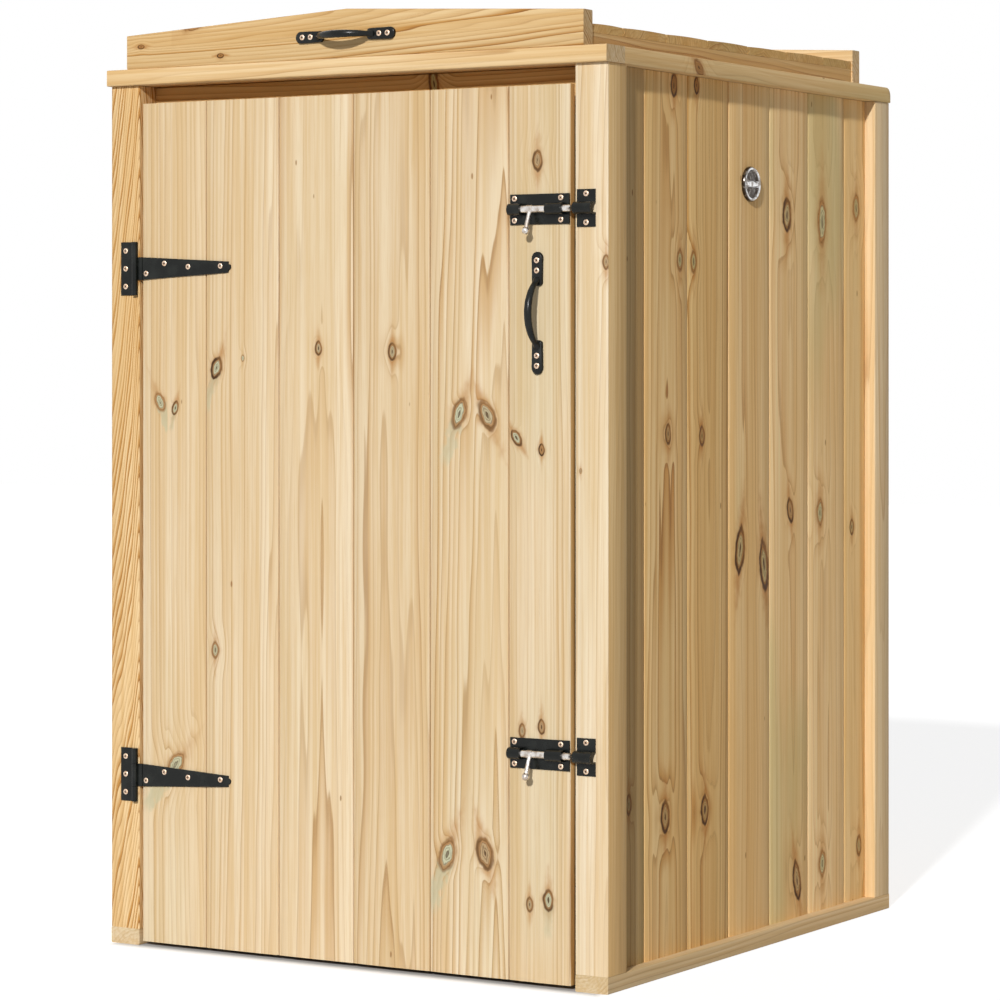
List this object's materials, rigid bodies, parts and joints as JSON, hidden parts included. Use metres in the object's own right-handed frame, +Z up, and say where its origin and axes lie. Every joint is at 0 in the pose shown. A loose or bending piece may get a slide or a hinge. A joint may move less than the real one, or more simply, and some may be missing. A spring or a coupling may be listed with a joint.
{
  "type": "timber wheelie-bin store",
  "caption": "Boarded softwood box store for a wheelie bin, with a strap-hinged door, barrel bolts and a lifting pitched lid.",
  "frame": {"origin": "on the ground under the middle of the whole store, handles and hinges counted", "axes": "+Z up, +Y from the door to the rear wall, +X to the right as seen from the door"},
  "size_m": [0.792, 0.88, 1.2745],
  "materials": {
    "treated_timber": "pressure-treated softwood, planed and unpainted",
    "black_steel": "semi-gloss black japanned steel",
    "bright_metal": "bright plated steel"
  },
  "bodies": {
    "carcass": {"left_front_post": "treated_timber", "right_front_post": "treated_timber", "left_rear_post": "treated_timber", "right_rear_post": "treated_timber", "left_bottom_rail": "treated_timber", "right_bottom_rail": "treated_timber", "rear_bottom_rail": "treated_timber", "left_wall_rails": "treated_timber", "right_wall_rails": "treated_timber", "rear_wall_rails": "treated_timber", "rear_top_rail": "treated_timber", "front_header": "treated_timber", "left_wall": "treated_timber", "right_wall": "treated_timber", "rear_wall": "treated_timber", "upper_hinge_flange": "black_steel", "lower_hinge_flange": "black_steel", "upper_bolt_keep": "black_steel", "lower_bolt_keep": "black_steel", "side_disc": "bright_metal", "lid_hinge_lower_leaves": "black_steel"},
    "door": {"door_boards": "treated_timber", "door_top_ledge": "treated_timber", "door_middle_ledge": "treated_timber", "door_bottom_ledge": "treated_timber", "door_braces": "treated_timber", "upper_hinge_strap": "black_steel", "lower_hinge_strap": "black_steel", "upper_bolt_barrel": "black_steel", "lower_bolt_barrel": "black_steel", "door_handle": "black_steel"},
    "upper_bolt": {"upper_bolt_bar": "bright_metal"},
    "lower_bolt": {"lower_bolt_bar": "bright_metal"},
    "lid": {"lid_front_rail": "treated_timber", "lid_rear_rail": "treated_timber", "lid_left_rail": "treated_timber", "lid_right_rail": "treated_timber", "lid_front_fascia": "treated_timber", "lid_rear_fascia": "treated_timber", "lid_kerbs": "treated_timber", "lid_left_roof": "treated_timber", "lid_right_roof": "treated_timber", "lid_ridge_bearer": "treated_timber", "lid_handle": "black_steel", "lid_hinge_upper_leaves": "black_steel"}
  },
  "joints": [
    {"name": "door_hinge", "type": "hinge", "parent": "carcass", "child": "door", "pos_m": [-0.351, -0.4068, 0.5815], "axis": [0, 0, -1], "range_deg": [0, 170]},
    {"name": "lid_hinge", "type": "hinge", "parent": "carcass", "child": "lid", "pos_m": [0, 0.436, 1.18025], "axis": [-1, 0, 0], "range_deg": [0, 95]},
    {"name": "upper_bolt_slide", "type": "slide", "parent": "door", "child": "upper_bolt", "axis": [1, 0, 0], "range_m": [-0.009, 0.02]},
    {"name": "lower_bolt_slide", "type": "slide", "parent": "door", "child": "lower_bolt", "axis": [1, 0, 0], "range_m": [-0.009, 0.02]}
  ]
}
